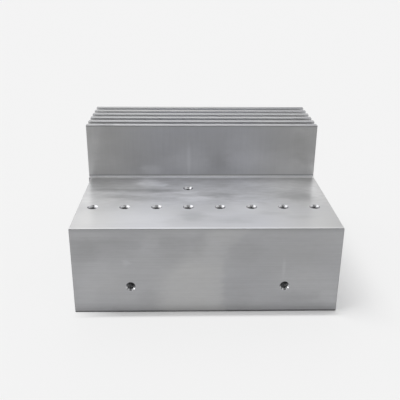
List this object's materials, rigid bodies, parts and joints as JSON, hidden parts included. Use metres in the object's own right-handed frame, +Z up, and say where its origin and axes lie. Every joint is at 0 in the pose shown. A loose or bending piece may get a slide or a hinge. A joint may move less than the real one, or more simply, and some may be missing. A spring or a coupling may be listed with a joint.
{
  "type": "skived fin heat sink",
  "caption": "One-piece aluminium heat sink: a thick block with a flat drilled ledge in front and upright skived fins behind, for power devices screwed to the ledge.",
  "frame": {"origin": "middle of the underside's bounding rectangle", "axes": "+Z up, the way the fins stand; +Y from the drilled front face to the back; +X along the fins"},
  "size_m": [0.101, 0.095, 0.0585],
  "materials": {
    "aluminium": "bare, machined, with fine lines along the fins"
  },
  "bodies": {
    "root": {"heat_sink": "aluminium"}
  },
  "joints": []
}
